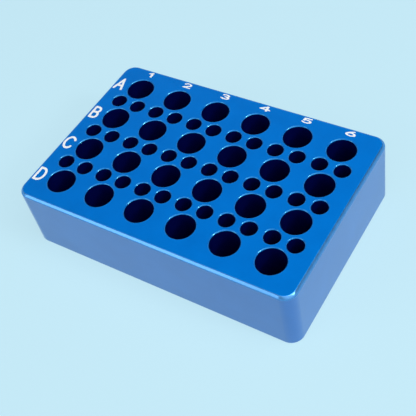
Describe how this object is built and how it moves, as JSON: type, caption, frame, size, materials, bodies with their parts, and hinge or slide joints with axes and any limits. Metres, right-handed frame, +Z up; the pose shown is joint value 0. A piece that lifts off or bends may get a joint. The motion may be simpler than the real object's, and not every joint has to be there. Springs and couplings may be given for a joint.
{
  "type": "pcr cooling rack",
  "caption": "One-piece blue anodised aluminium cooling block with a grid of round wells for 1.5 ml tubes and rows of small wells between them for 0.2 ml tubes.",
  "frame": {"origin": "centre of the flat underside", "axes": "+X along the lettered rows towards the last numbered column, +Y towards row A, +Z up out of the wells"},
  "size_m": [0.117, 0.0776, 0.028],
  "materials": {
    "anodised_blue": "satin blue anodising",
    "index_white": "white index marks, matt"
  },
  "bodies": {
    "root": {"block": "anodised_blue"}
  },
  "joints": []
}
